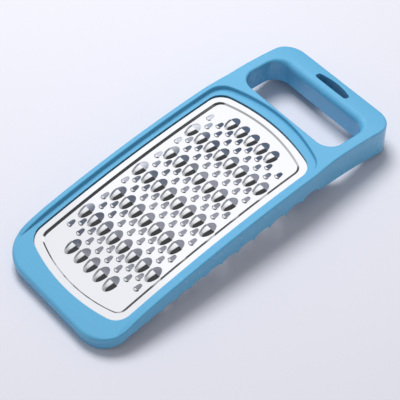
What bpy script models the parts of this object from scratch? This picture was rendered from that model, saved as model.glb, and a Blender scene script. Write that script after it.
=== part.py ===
"""Arched vegetable grater: a moulded frame with a handle, a stamped grating plate and its retaining ring.

Every piece is first modelled flat: x across, y along the arch from the nose to the handle, z up from the
plane of the plate's edge. Then it is cut across into short stretches and each stretch is set along the arch.
"""

import math

import bmesh
import bpy
from mathutils import Matrix, Vector

NAME = "vegetable_grater"

# Grating pattern
PITCH = 0.0095
ROW_STEP = 0.02316
LARGE_ROWS = (5, 8, 7, 8, 7, 8, 5)
SMALL_ROW_BESIDE = {5: 8, 7: 8, 8: 7}

# Large teeth: a half dome whose open end is the cutting edge, and a hole in front of it
LARGE_SPACING = 0.0023
LARGE_HALF_WIDTH = (PITCH - LARGE_SPACING) / 2
LARGE_DOME = 0.0074
LARGE_HOLE = 0.0054
LARGE_HEIGHT = 0.0022
LARGE_EDGE_AHEAD = 0.0023
LARGE_SIDES = 8

# Small teeth
SMALL_HALF_WIDTH = 0.00165
SMALL_DOME = 0.0028
SMALL_HOLE = 0.0022
SMALL_HEIGHT = 0.0012
SMALL_EDGE_AHEAD = 0.0004
SMALL_SIDES = 6

# Window that the plate shows through: the pattern of teeth and a margin on each side
SIDE_MARGIN = 0.0070
NEAR_MARGIN = 0.02252
FAR_MARGIN = 0.02002
PATTERN_HALF_LENGTH = ROW_STEP * (len(LARGE_ROWS) - 1) / 2
WINDOW_HALF_WIDTH = PITCH * max(LARGE_ROWS) / 2 + SIDE_MARGIN
WINDOW_NEAR = -PATTERN_HALF_LENGTH - NEAR_MARGIN
WINDOW_FAR = PATTERN_HALF_LENGTH + FAR_MARGIN
WINDOW_SAG = 0.0080
WINDOW_CORNER = 0.0120

# Sunk ledge round the window, open at the nose
LEDGE_WIDTH = 0.0038
LEDGE_LENGTH = 0.0072
CHANNEL_HALF_WIDTH = WINDOW_HALF_WIDTH + LEDGE_WIDTH
CHANNEL_FAR = WINDOW_FAR + LEDGE_LENGTH
CHANNEL_SAG = 0.0115
CHANNEL_CORNER = 0.0125

# Frame, in plan
RIM_WIDTH = 0.0041
NOSE_LENGTH = 0.0139
HALF_WIDTH = CHANNEL_HALF_WIDTH + RIM_WIDTH
NOSE_END = WINDOW_NEAR - NOSE_LENGTH
NOSE_CORNER = 0.0240
HANDLE_CORNER = 0.0155
WALL = 0.0022
DRAFT = math.radians(2.58)

# How far the end walls lean in for each metre that they go down
NOSE_LEAN = 0.16
HANDLE_LEAN = 0.058

# Where and how much the frame narrows towards the handle
NARROWING = 0.0012
NARROWING_BEFORE = 0.0135
NARROWING_AFTER = 0.0055
HANDLE_HALF_WIDTH = HALF_WIDTH - NARROWING
NARROWING_STARTS = WINDOW_FAR - NARROWING_BEFORE
NARROWING_ENDS = WINDOW_FAR + NARROWING_AFTER

# Finger opening and the collar round it
HANDLE_SIDE = 0.0075
BRIDGE_WIDTH = 0.0021
OPENING_LENGTH = 0.0384
OPENING_HALF_WIDTH = HANDLE_HALF_WIDTH - HANDLE_SIDE
OPENING_NEAR = CHANNEL_FAR + BRIDGE_WIDTH
OPENING_FAR = OPENING_NEAR + OPENING_LENGTH
OPENING_CORNER = 0.0120
OPENING_ROUNDING_FAR = 0.0065
OPENING_ROUNDING_SIDE = 0.0020
OPENING_ROUNDING_NEAR = 0.0008
COLLAR_WALL = 0.0022
COLLAR_DEPTH = 0.0205

# Hanging slot, and the handle's end beyond it
SLOT_SPACING = 0.0001
SLOT_HALF_WIDTH = 0.0150
SLOT_WIDTH = 0.0070
HANDLE_EDGE = 0.0062
SLOT_NEAR = OPENING_FAR + OPENING_ROUNDING_FAR + SLOT_SPACING
SLOT_FAR = SLOT_NEAR + SLOT_WIDTH
HANDLE_END = SLOT_FAR + HANDLE_EDGE

# Heights above the plane of the plate's edge
RIM_TOP = 0.0043
LEDGE_TOP = 0.0012
RIM_ROUNDING = 0.0012
NOSE_ROUNDING = 0.0033

# Where the rim sinks to the ledge on its way to the nose
RIM_SINKS_BEFORE = 0.0180
RIM_SUNK_BEFORE = 0.0015
RIM_SINKS = WINDOW_NEAR + RIM_SINKS_BEFORE
RIM_SUNK = WINDOW_NEAR + RIM_SUNK_BEFORE

# Fits
GAP = 0.0003
PEG_CLEARANCE = 0.0003
PLATE_CLEARANCE = 0.0004

# Plate
PLATE_TOP = -0.0001
PLATE_THICKNESS = 0.0006
PLATE_FLANGE = HALF_WIDTH - WALL - PLATE_CLEARANCE - WINDOW_HALF_WIDTH
STEP_INSET = 0.0047
STEP_RUN = 0.0013
STEP_DROP = 0.0010
STEP_CORNER = 0.0075

# Arch: its crown, its radius, and the tighter bend under the handle
CROWN_BEFORE = 0.0169
BEND_BEFORE = 0.0040
CROWN = WINDOW_FAR - CROWN_BEFORE
HANDLE_BEND_STARTS = WINDOW_FAR - BEND_BEFORE
ARCH_RADIUS = 0.8071
HANDLE_BEND_RADIUS = 0.285
NOSE_HEIGHT = 0.00944
CROWN_HEIGHT = NOSE_HEIGHT + ARCH_RADIUS * (1 - math.cos((CROWN - NOSE_END) / ARCH_RADIUS))

# Lower edge of the side walls: depth below the rim at shares of the way from the nose to the handle's end
EDGE_DEPTHS = (
    (-0.0156, 0.0160),
    (0.0156, 0.0144),
    (0.0377, 0.0129),
    (0.0513, 0.0122),
    (0.0723, 0.0108),
    (0.1076, 0.0114),
    (0.1461, 0.0122),
    (0.1921, 0.0135),
    (0.2849, 0.0149),
    (0.3868, 0.0171),
    (0.4405, 0.0183),
    (0.6006, 0.0191),
    (0.7109, 0.0181),
    (0.7642, 0.0209),
    (0.8855, 0.0219),
    (0.9361, 0.0226),
)
HANDLE_FOOT = 0.0007

# Scallops in that edge, from the handle's end to the nose's
SCALLOPS = 13
SCALLOP_MARGIN_FAR = 0.0085
SCALLOP_MARGIN_NEAR = 0.0051
LAST_SCALLOP_SHARE = 0.65
SCALLOP_RISE_FAR = 0.0046
SCALLOP_RISE_NEAR = 0.0014

# Retaining ring and the frame's pegs
RING_THICKNESS = 0.0014
RING_INSET = 0.0006
PEG_RADIUS = 0.0013
PEG_OUT = PLATE_FLANGE / 2
PEG_ROWS = (-3, -1, 1, 3)
PEG_END_X = 0.0200
PEG_SIDES = 8
HEAD_RADIUS = 0.0024
HEAD_HEIGHT = 0.0010

# Extra cuts across the corners at both ends, as shares of their length, where the walls begin to lean
LEAN_CUTS = (0.3, 0.65, 1)

ARC_STEPS = 6
SAG_STEPS = 6
ROUNDING_STEPS = 4
SHARP_ANGLE = math.radians(35)

# How far the cutters reach past what they cut
FAR_BELOW = 0.060
FAR_ABOVE = 0.020

RING_TOP = PLATE_TOP - PLATE_THICKNESS - GAP
RING_BOTTOM = RING_TOP - RING_THICKNESS
LIP_UNDERSIDE = PLATE_TOP + GAP


def clear_scene():
    for obj in list(bpy.data.objects):
        bpy.data.objects.remove(obj, do_unlink=True)
    for collection in list(bpy.data.collections):
        bpy.data.collections.remove(collection)


def new_collection(name):
    collection = bpy.data.collections.new(name)
    bpy.context.scene.collection.children.link(collection)
    return collection


def material(name, colour, roughness, metallic):
    made = bpy.data.materials.new(name)
    made.use_nodes = True
    shader = made.node_tree.nodes["Principled BSDF"]
    shader.inputs["Base Color"].default_value = (*colour, 1)
    shader.inputs["Roughness"].default_value = roughness
    shader.inputs["Metallic"].default_value = metallic
    return made


# Outlines


def round_corner(before, corner, after, radius, steps=ARC_STEPS):
    """Points of the arc of this radius that touches both sides of a corner."""
    corner = Vector(corner)
    back = (Vector(before) - corner).normalized()
    ahead = (Vector(after) - corner).normalized()
    half_angle = back.angle(ahead) / 2
    reach = radius / math.tan(half_angle)
    centre = corner + (back + ahead).normalized() * radius / math.sin(half_angle)
    start = corner + back * reach - centre
    end = corner + ahead * reach - centre
    turn = start.angle_signed(end)
    return [centre + Matrix.Rotation(-turn * i / steps, 2) @ start for i in range(steps + 1)]


def sagging_end(half_width, middle, sag):
    """Points across an end, whose corners lie a sag away from its middle."""
    steps = SAG_STEPS if sag else 1
    shares = [2 * i / steps - 1 for i in range(steps + 1)]
    return [Vector((half_width * share, middle + sag * share**2)) for share in shares]


def outline(half_width, near, far, near_corner, far_corner, near_sag=0.0, far_sag=0.0):
    """A plan outline with four round corners, anticlockwise from above."""
    near_end = sagging_end(half_width, near, near_sag)
    far_end = sagging_end(half_width, far, -far_sag)[::-1]
    points = []
    for end, other, corner in ((near_end, far_end, near_corner), (far_end, near_end, far_corner)):
        first = round_corner(other[-1], end[0], end[1], corner)
        last = round_corner(end[-2], end[-1], other[0], corner)
        inner = [point for point in end[1:-1] if first[-1].x < point.x < last[0].x]
        if end is far_end:
            inner = [point for point in end[1:-1] if last[0].x < point.x < first[-1].x]
        points += first + inner + last
    return points


def frame_outline(inset=0.0):
    return outline(
        HALF_WIDTH - inset,
        NOSE_END + inset,
        HANDLE_END - inset,
        NOSE_CORNER - inset,
        HANDLE_CORNER - inset,
    )


def window_outline(outset=0.0):
    return outline(
        WINDOW_HALF_WIDTH + outset,
        WINDOW_NEAR - outset,
        WINDOW_FAR + outset,
        WINDOW_CORNER + outset,
        WINDOW_CORNER + outset,
        WINDOW_SAG,
        WINDOW_SAG,
    )


def opening_outline(outset=0.0):
    return outline(
        OPENING_HALF_WIDTH + outset,
        OPENING_NEAR - outset,
        OPENING_FAR + outset,
        OPENING_CORNER + outset,
        OPENING_CORNER + outset,
    )


def outward(points):
    """The direction out of an outline at each of its points."""
    directions = []
    for before, after in zip(points[-1:] + points[:-1], points[1:] + points[:1]):
        along = (Vector(after) - Vector(before)).normalized()
        directions.append(Vector((along.y, -along.x)))
    return directions


# Solids from outlines


def mesh_from(obj):
    """A mesh object in place of a curve object, with its caps joined to its sides."""
    bpy.context.view_layer.update()
    graph = bpy.context.evaluated_depsgraph_get()
    mesh = bpy.data.meshes.new_from_object(obj.evaluated_get(graph))
    mesh.transform(obj.matrix_world)
    solid = bmesh.new()
    solid.from_mesh(mesh)
    bmesh.ops.remove_doubles(solid, verts=solid.verts, dist=1e-6)
    bmesh.ops.recalc_face_normals(solid, faces=solid.faces)
    solid.to_mesh(mesh)
    solid.free()
    name = obj.name
    collection = obj.users_collection[0]
    bpy.data.objects.remove(obj, do_unlink=True)
    made = bpy.data.objects.new(name, mesh)
    collection.objects.link(made)
    return made


def slab(name, outlines, bottom, top, collection):
    """A flat solid between two heights. Outlines after the first are its holes."""
    curve = bpy.data.curves.new(name, "CURVE")
    curve.dimensions = "2D"
    curve.fill_mode = "BOTH"
    curve.extrude = (top - bottom) / 2
    for points in outlines:
        spline = curve.splines.new("POLY")
        spline.points.add(len(points) - 1)
        for spot, point in zip(spline.points, points):
            spot.co = (point[0], point[1], 0, 1)
        spline.use_cyclic_u = True
    obj = bpy.data.objects.new(name, curve)
    obj.location.z = (top + bottom) / 2
    collection.objects.link(obj)
    return mesh_from(obj)


def loft(name, loops, collection, closed=True):
    """A surface through loops of as many points each, from the lowest or outermost to the capped last."""
    shape = bmesh.new()
    rings = [[shape.verts.new(point) for point in loop] for loop in loops]
    for first, second in zip(rings, rings[1:]):
        for i in range(len(first)):
            shape.faces.new((first[i - 1], first[i], second[i], second[i - 1]))
    shape.faces.new(rings[-1])
    if closed:
        shape.faces.new(rings[0][::-1])
    mesh = bpy.data.meshes.new(name)
    shape.to_mesh(mesh)
    shape.free()
    obj = bpy.data.objects.new(name, mesh)
    collection.objects.link(obj)
    return obj


def crosswise(name, profile, half_length, collection):
    """A profile in the plane of y and z, drawn out along x."""
    obj = slab(name, [profile], -half_length, half_length, collection)
    obj.data.transform(Matrix(((0, 0, 1, 0), (1, 0, 0, 0), (0, 1, 0, 0), (0, 0, 0, 1))))
    return obj


def cut(obj, cutter, operation="DIFFERENCE"):
    """Joins or cuts with an exact Boolean, and keeps the result as the object's own mesh."""
    modifier = obj.modifiers.new(cutter.name, "BOOLEAN")
    modifier.operation = operation
    modifier.solver = "EXACT"
    modifier.object = cutter
    apply_modifiers(obj)
    cutter.hide_render = True
    cutter.display_type = "WIRE"


def apply_modifiers(obj):
    bpy.context.view_layer.update()
    graph = bpy.context.evaluated_depsgraph_get()
    mesh = bpy.data.meshes.new_from_object(obj.evaluated_get(graph))
    obj.modifiers.clear()
    obj.data = mesh


def joined(name, pieces, collection):
    """One object that holds several closed shapes clear of each other."""
    together = bmesh.new()
    for piece in pieces:
        together.from_mesh(piece)
        bpy.data.meshes.remove(piece)
    mesh = bpy.data.meshes.new(name)
    together.to_mesh(mesh)
    together.free()
    obj = bpy.data.objects.new(name, mesh)
    collection.objects.link(obj)
    return obj


# Arch


def arch(s):
    """Where a point of the plate's edge plane goes: along the floor and height above it."""
    turn = (min(s, HANDLE_BEND_STARTS) - CROWN) / ARCH_RADIUS
    along = ARCH_RADIUS * math.sin(turn)
    height = CROWN_HEIGHT - ARCH_RADIUS * (1 - math.cos(turn))
    if s > HANDLE_BEND_STARTS:
        more = turn + (s - HANDLE_BEND_STARTS) / HANDLE_BEND_RADIUS
        along += HANDLE_BEND_RADIUS * (math.sin(more) - math.sin(turn))
        height += HANDLE_BEND_RADIUS * (math.cos(more) - math.cos(turn))
    return along, height


def arch_stations():
    """Places of the cuts between stretches: between rows of teeth, and twice as close under the handle."""
    stations = []
    s = -ROW_STEP * (math.ceil(-NOSE_END / ROW_STEP) + 0.5)
    while s < HANDLE_END + ROW_STEP:
        stations.append(s)
        s += ROW_STEP / 2 if s > WINDOW_FAR - ROW_STEP else ROW_STEP
    return stations


def set_back(rounding, lean):
    """How far the outermost line of a leaning wall lies inside its outline, below a rounded top edge."""
    return rounding * (1 + lean - math.hypot(1, lean))


STATIONS = arch_stations()
ARCHED = [arch(s) for s in STATIONS]
NOSE_FRONT = arch(NOSE_END)[0] + set_back(NOSE_ROUNDING, NOSE_LEAN)
HANDLE_BACK = arch(HANDLE_END)[0] - set_back(RIM_ROUNDING, HANDLE_LEAN)
MIDDLE = (NOSE_FRONT + HANDLE_BACK) / 2


def width_share(s):
    """The frame narrows a little on its way to the handle."""
    share = (s - NARROWING_STARTS) / (NARROWING_ENDS - NARROWING_STARTS)
    return 1 - (1 - HANDLE_HALF_WIDTH / HALF_WIDTH) * min(max(share, 0), 1)


def lean(s, z):
    """How far a point moves along the grater because the end walls lean in below their top edges."""
    nose_share = min(max(1 - (s - NOSE_END) / NOSE_CORNER, 0), 1)
    handle_share = min(max(1 - (HANDLE_END - s) / HANDLE_CORNER, 0), 1)
    return nose_share * NOSE_LEAN * (LEDGE_TOP - z) - handle_share * HANDLE_LEAN * (RIM_TOP - z)


def place(point):
    """From the flat model to the finished one. The side walls lean out by their draft."""
    spread = 1 + math.tan(DRAFT) * (RIM_TOP - point.z) / HALF_WIDTH
    x = point.x * width_share(point.y) * spread
    for (s0, a), (s1, b) in zip(zip(STATIONS, ARCHED), zip(STATIONS[1:], ARCHED[1:])):
        if point.y <= s1:
            share = (point.y - s0) / (s1 - s0)
            break
    y = a[0] + (b[0] - a[0]) * share + lean(point.y, point.z)
    z = a[1] + (b[1] - a[1]) * share + point.z
    return Vector((x, y - MIDDLE, z))


def set_along_arch(obj):
    """Cuts the flat model across at each station, then moves each stretch to its place."""
    shape = bmesh.new()
    shape.from_mesh(obj.data)
    corners = [NOSE_END + NOSE_CORNER * share for share in LEAN_CUTS]
    corners += [HANDLE_END - HANDLE_CORNER * share for share in LEAN_CUTS]
    for s in STATIONS + [NARROWING_STARTS, NARROWING_ENDS] + corners:
        everything = shape.verts[:] + shape.edges[:] + shape.faces[:]
        bmesh.ops.bisect_plane(shape, geom=everything, dist=1e-7, plane_co=(0, s, 0), plane_no=(0, 1, 0))
    for vertex in shape.verts:
        vertex.co = place(vertex.co)
    bmesh.ops.triangulate(shape, faces=shape.faces)
    shape.to_mesh(obj.data)
    shape.free()


# Frame


def edge_table():
    """Places and depths of the lower edge. Past its last one, the handle's end wall reaches the floor."""
    length = HANDLE_END - NOSE_END
    table = [(NOSE_END + share * length, depth) for share, depth in EDGE_DEPTHS]
    return table + [(HANDLE_END + WALL, RIM_TOP + arch(HANDLE_END)[1] + HANDLE_FOOT)]


def edge_height(s):
    """Height of the side walls' lower edge in the flat model, without its scallops."""
    table = edge_table()
    for (s0, d0), (s1, d1) in zip(table, table[1:]):
        if s <= s1:
            break
    return RIM_TOP - d0 - (d1 - d0) * (s - s0) / (s1 - s0)


def scallop_cusps():
    """Places of the scallops' points, from the handle to the nose. The scallops get shorter on the way."""
    far = WINDOW_FAR - SCALLOP_MARGIN_FAR
    near = WINDOW_NEAR + SCALLOP_MARGIN_NEAR
    shares = [1 - (1 - LAST_SCALLOP_SHARE) * (i / (SCALLOPS - 1)) ** 2 for i in range(SCALLOPS)]
    return [far + (near - far) * sum(shares[:i]) / sum(shares) for i in range(SCALLOPS + 1)]


def lower_edge():
    """The side walls' lower edge in the plane of y and z, from the handle to the nose."""
    cusps = scallop_cusps()
    places = [s for s, _ in edge_table()]
    points = [(s, edge_height(s)) for s in reversed(places) if s > cusps[0]]
    for number, (far, near) in enumerate(zip(cusps, cusps[1:])):
        tallest = SCALLOP_RISE_FAR + (SCALLOP_RISE_NEAR - SCALLOP_RISE_FAR) * number / SCALLOPS
        for i in range(ARC_STEPS):
            share = i / ARC_STEPS
            s = far + (near - far) * share
            rise = tallest * math.sqrt(1 - (2 * share - 1) ** 2)
            points.append((s, edge_height(s) + rise))
    points.append((cusps[-1], edge_height(cusps[-1])))
    return points + [(s, edge_height(s)) for s in reversed(places) if s < cusps[-1]]


def nose_cut():
    """What the sinking rim and the rounding of the nose's top edge take off, in the plane of y and z."""
    centre = Vector((NOSE_END + NOSE_ROUNDING, LEDGE_TOP - NOSE_ROUNDING))
    profile = [(NOSE_END - WALL, centre.y)]
    for i in range(ROUNDING_STEPS + 1):
        angle = math.pi / 2 * i / ROUNDING_STEPS
        profile.append(centre + NOSE_ROUNDING * Vector((-math.cos(angle), math.sin(angle))))
    profile += [(RIM_SUNK, LEDGE_TOP), (RIM_SINKS, RIM_TOP)]
    return profile + [(RIM_SINKS, FAR_ABOVE), (NOSE_END - WALL, FAR_ABOVE)]


def rounded_block(name, points, widths, sense, bottom, top, collection):
    """An upright block from an outline, whose top edge is rounded in (sense -1) or flared out (sense 1)."""
    directions = outward(points)
    loops = [[(point.x, point.y, bottom) for point in points]]
    for i in range(ROUNDING_STEPS + 1):
        angle = math.pi / 2 * i / ROUNDING_STEPS
        loops.append([])
        for point, direction, width in zip(points, directions, widths):
            spot = point + direction * sense * width * (1 - math.cos(angle))
            loops[-1].append((spot.x, spot.y, top - width * (1 - math.sin(angle))))
    if sense > 0:
        loops.append([(x, y, FAR_ABOVE) for x, y, _ in loops[-1]])
    return loft(name, loops, collection)


def opening_cutter(collection):
    """The finger opening, flared to a round edge that is widest on its far side."""
    points = opening_outline()
    widths = []
    for direction in outward(points):
        end = OPENING_ROUNDING_FAR if direction.y > 0 else OPENING_ROUNDING_NEAR
        widths.append(OPENING_ROUNDING_SIDE + (end - OPENING_ROUNDING_SIDE) * direction.y**2)
    return rounded_block("opening_cutter", points, widths, 1, -2 * FAR_BELOW, RIM_TOP, collection)


def peg_spots():
    """Places of the pegs: along both sides of the window, and at its ends."""
    side_x = WINDOW_HALF_WIDTH + PEG_OUT
    spots = [(side * side_x, row * ROW_STEP) for row in PEG_ROWS for side in (-1, 1)]
    bow = WINDOW_SAG * (PEG_END_X / WINDOW_HALF_WIDTH) ** 2
    for side in (-1, 1):
        spots.append((side * PEG_END_X, WINDOW_NEAR - PEG_OUT + bow))
        spots.append((side * PEG_END_X, WINDOW_FAR + PEG_OUT - bow))
    return spots


def round_bar(radius, bottom, top, x, y):
    mesh = bpy.data.meshes.new("round_bar")
    shape = bmesh.new()
    middle = Matrix.Translation((x, y, (bottom + top) / 2))
    bmesh.ops.create_cone(
        shape,
        cap_ends=True,
        segments=PEG_SIDES,
        radius1=radius,
        radius2=radius,
        depth=top - bottom,
        matrix=middle,
    )
    shape.to_mesh(mesh)
    shape.free()
    return mesh


def build_frame(parts, cutters):
    points = frame_outline()
    widths = [RIM_ROUNDING] * len(points)
    frame = rounded_block("frame", points, widths, -1, -FAR_BELOW, RIM_TOP, parts)

    channel = outline(
        CHANNEL_HALF_WIDTH, 2 * NOSE_END, CHANNEL_FAR, WALL, CHANNEL_CORNER, far_sag=CHANNEL_SAG
    )
    cut(frame, slab("ledge_cutter", [channel], LEDGE_TOP, FAR_ABOVE, cutters))
    cut(frame, slab("window_cutter", [window_outline()], -FAR_BELOW, FAR_ABOVE, cutters))

    hollow = slab(
        "hollow_cutter",
        [frame_outline(WALL), opening_outline(COLLAR_WALL)],
        -2 * FAR_BELOW,
        LIP_UNDERSIDE,
        cutters,
    )
    cut(frame, hollow)
    cut(frame, opening_cutter(cutters))

    slot_corner = (SLOT_FAR - SLOT_NEAR) / 2 - GAP
    slot = outline(SLOT_HALF_WIDTH, SLOT_NEAR, SLOT_FAR, slot_corner, slot_corner)
    cut(frame, slab("slot_cutter", [slot], -GAP, FAR_ABOVE, cutters))

    cut(frame, crosswise("nose_cutter", nose_cut(), 2 * HALF_WIDTH, cutters))

    edge = lower_edge()
    below = [(edge[-1][0], -3 * FAR_BELOW), (edge[0][0], -3 * FAR_BELOW)]
    cut(frame, crosswise("lower_edge_cutter", edge + below, 2 * HALF_WIDTH, cutters))

    collar_bottom = RIM_TOP - COLLAR_DEPTH
    collar = opening_outline(COLLAR_WALL + GAP)
    cut(frame, slab("collar_cutter", [collar], -2 * FAR_BELOW, collar_bottom, cutters))

    head_top = RING_BOTTOM - GAP
    head_bottom = head_top - HEAD_HEIGHT
    lip_middle = (LEDGE_TOP + LIP_UNDERSIDE) / 2
    pegs = [round_bar(PEG_RADIUS, head_bottom + HEAD_HEIGHT / 2, lip_middle, *spot) for spot in peg_spots()]
    heads = [round_bar(HEAD_RADIUS, head_bottom, head_top, *spot) for spot in peg_spots()]
    cut(frame, joined("peg_shapes", pegs, cutters), "UNION")
    cut(frame, joined("peg_head_shapes", heads, cutters), "UNION")

    set_along_arch(frame)
    under = outline(2 * HALF_WIDTH, 2 * NOSE_END, 2 * HANDLE_END, WALL, WALL)
    cut(frame, slab("floor_cutter", [under], -FAR_BELOW, 0, cutters))
    return frame


# Plate


def tooth_sites():
    """Places of the large teeth and of the small ones, in rows along the arch."""
    large = []
    small = []
    middle_row = (len(LARGE_ROWS) - 1) / 2
    for row, count in enumerate(LARGE_ROWS):
        s = ROW_STEP * (row - middle_row)
        large += row_sites(count, s)
        if row > 0:
            small += row_sites(SMALL_ROW_BESIDE[count], s - ROW_STEP / 3)
        if row < len(LARGE_ROWS) - 1:
            small += row_sites(SMALL_ROW_BESIDE[count], s + ROW_STEP / 3)
    return large, small


def row_sites(count, s):
    return [((i - (count - 1) / 2) * PITCH, s) for i in range(count)]


def ellipsoid(x, y, half_width, back, ahead, up, down, sides):
    """An egg round a point of the plate, with its own reach each way. No reach ahead cuts it flat there."""
    mesh = bpy.data.meshes.new("egg")
    shape = bmesh.new()
    bmesh.ops.create_uvsphere(shape, u_segments=sides, v_segments=4, radius=1)
    bmesh.ops.rotate(shape, verts=shape.verts, matrix=Matrix.Rotation(math.pi / sides, 3, "Z"))
    if ahead == 0:
        everything = shape.verts[:] + shape.edges[:] + shape.faces[:]
        bmesh.ops.bisect_plane(
            shape, geom=everything, dist=1e-7, plane_co=(0, 0, 0), plane_no=(0, 1, 0), clear_outer=True
        )
        bmesh.ops.holes_fill(shape, edges=shape.edges)
    for vertex in shape.verts:
        along = vertex.co.y * (back if vertex.co.y < 0 else ahead)
        height = vertex.co.z * (up if vertex.co.z > 0 else down)
        vertex.co = Vector((x + vertex.co.x * half_width, y + along, panel_top() + height))
    bmesh.ops.recalc_face_normals(shape, faces=shape.faces)
    shape.to_mesh(mesh)
    shape.free()
    return mesh


def panel_top():
    return PLATE_TOP - STEP_DROP


def sheet(name, collection):
    """The plate before its teeth: an edge, a pressed step and a panel, given its thickness by Solidify."""
    near = WINDOW_NEAR + STEP_INSET
    far = WINDOW_FAR - STEP_INSET
    half_width = WINDOW_HALF_WIDTH - STEP_INSET
    sag = WINDOW_SAG
    corner = STEP_CORNER - STEP_RUN
    step_top = outline(half_width, near, far, STEP_CORNER, STEP_CORNER, sag, sag)
    step_foot = outline(half_width - STEP_RUN, near + STEP_RUN, far - STEP_RUN, corner, corner, sag, sag)
    loops = (
        [(point.x, point.y, PLATE_TOP) for point in window_outline(PLATE_FLANGE)],
        [(point.x, point.y, PLATE_TOP) for point in step_top],
        [(point.x, point.y, panel_top()) for point in step_foot],
    )
    obj = loft(name, loops, collection, closed=False)
    thickness = obj.modifiers.new("thickness", "SOLIDIFY")
    thickness.thickness = PLATE_THICKNESS
    thickness.offset = -1
    thickness.use_even_offset = True
    apply_modifiers(obj)
    return obj


def build_plate(parts, cutters):
    plate = sheet("grating_plate", parts)
    large, small = tooth_sites()
    sheet_part = PLATE_THICKNESS * 2 / 3
    through = 3 * PLATE_THICKNESS
    kinds = (
        (large, LARGE_HALF_WIDTH, LARGE_DOME, LARGE_HOLE, LARGE_HEIGHT, LARGE_EDGE_AHEAD, LARGE_SIDES),
        (small, SMALL_HALF_WIDTH, SMALL_DOME, SMALL_HOLE, SMALL_HEIGHT, SMALL_EDGE_AHEAD, SMALL_SIDES),
    )
    wall = PLATE_THICKNESS
    domes = []
    hollows = []
    for sites, half_width, dome, hole, height, ahead, sides in kinds:
        inside = (half_width - wall, dome - wall, hole, height - wall)
        for x, s in sites:
            domes.append(ellipsoid(x, s + ahead, half_width, dome, 0, height, sheet_part, sides))
            hollows.append(ellipsoid(x, s + ahead, *inside, through, sides))
    cut(plate, joined("dome_shapes", domes, cutters), "UNION")
    cut(plate, joined("tooth_cutters", hollows, cutters))
    holes = [round_bar(PEG_RADIUS + PEG_CLEARANCE, -through, through, *spot) for spot in peg_spots()]
    cut(plate, joined("plate_peg_holes", holes, cutters))
    set_along_arch(plate)
    return plate


def build_ring(parts, cutters):
    outlines = [window_outline(PLATE_FLANGE), window_outline(RING_INSET)]
    ring = slab("retaining_ring", outlines, RING_BOTTOM, RING_TOP, parts)
    holes = [
        round_bar(PEG_RADIUS + PEG_CLEARANCE, RING_BOTTOM - GAP, RING_TOP + GAP, *spot)
        for spot in peg_spots()
    ]
    cut(ring, joined("ring_peg_holes", holes, cutters))
    set_along_arch(ring)
    return ring


def main():
    clear_scene()
    parts = new_collection(NAME)
    cutters = new_collection("cutters")
    cutters.hide_render = True
    blue = material("blue_plastic", (0.17, 0.46, 0.78), 0.3, 0)
    steel = material("stainless_steel", (0.80, 0.80, 0.81), 0.25, 1)
    grey_blue = material("blue_plastic_ring", (0.15, 0.42, 0.72), 0.4, 0)
    for build, finish in ((build_frame, blue), (build_plate, steel), (build_ring, grey_blue)):
        piece = build(parts, cutters)
        piece.data.materials.clear()
        piece.data.materials.append(finish)
        piece.data.shade_smooth()
        piece.data.set_sharp_from_angle(angle=SHARP_ANGLE)


main()
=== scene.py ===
"""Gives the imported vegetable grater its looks: a moulded frame, a stamped steel plate and a studio.

Every surface is first worked out flat: x across, s along the arch from the nose to the handle, z up from
the plane of the plate's edge. Then bend() sets it on the arch, in the frame of the CAD model.
"""

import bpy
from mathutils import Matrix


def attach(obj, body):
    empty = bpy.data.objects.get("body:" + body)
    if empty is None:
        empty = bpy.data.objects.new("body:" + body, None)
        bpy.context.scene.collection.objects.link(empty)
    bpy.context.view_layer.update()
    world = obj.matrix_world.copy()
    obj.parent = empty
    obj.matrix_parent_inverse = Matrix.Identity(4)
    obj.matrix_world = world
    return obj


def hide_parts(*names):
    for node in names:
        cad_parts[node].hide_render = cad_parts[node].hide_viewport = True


bl_info = {
    "name": "Vegetable Grater",
    "version": (1, 0, 0),
    "blender": (4, 5, 0),
    "location": "3D View > Sidebar > Grater",
    "description": "Builds a vegetable grater's moulded frame, stamped plate, pegs and studio",
    "category": "Object",
}

import math

import bmesh
import bpy
import numpy as np
from bpy.props import FloatProperty, FloatVectorProperty, PointerProperty
from mathutils import Matrix, Vector
from mathutils.geometry import delaunay_2d_cdt

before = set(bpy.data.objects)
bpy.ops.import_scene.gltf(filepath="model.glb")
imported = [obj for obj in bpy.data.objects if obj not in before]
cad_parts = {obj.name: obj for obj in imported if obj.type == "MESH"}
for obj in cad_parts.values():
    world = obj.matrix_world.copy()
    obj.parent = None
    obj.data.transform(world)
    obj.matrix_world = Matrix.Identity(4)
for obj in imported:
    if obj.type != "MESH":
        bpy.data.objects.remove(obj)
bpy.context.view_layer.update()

# Outlines: radius that counts as straight, and steps of a corner and of the wide arc before the points
# are spaced evenly
STRAIGHT_RADIUS = 1e3
CORNER_STEPS = 200
WIDE_STEPS = 800

# Flat fills: distances between their inner points, how far these stay from the border as a share of that,
# area of a triangle that is too thin to keep, and points that are compared with the border at a time
TOP_SPACING = 0.0030
UNDERSIDE_SPACING = 0.0040
BORDER_SHARE = 0.55
SLIVER = 1e-10
BATCH = 400

# Grating pattern. Rows of small teeth stand before and after the large rows
PITCH = 0.0095
ROW_STEP = 0.02316
LARGE_ROWS = (5, 8, 7, 8, 7, 8, 5)
SMALL_ROW_BESIDE = {5: 8, 7: 8, 8: 7}
SMALL_BEFORE = 0.0073
SMALL_AFTER = 0.0101

# Teeth: angle at which a dome's ellipse gives way to its foot, in degrees, how far the foot runs out as a
# share of the dome's reach, steps of the foot's curve, and the ring whose end is the hole's corner
LIP_ANGLE = 60
FOOT_RUN_OUT = 0.03
FOOT_STEPS = 4
CORNER_RING = 3

# Window that the plate shows through
WINDOW_HALF_WIDTH = 0.0450
WINDOW_NEAR = -0.0920
WINDOW_FAR = 0.0895
WINDOW_SAG = 0.0080
WINDOW_CORNER = 0.0120

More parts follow.
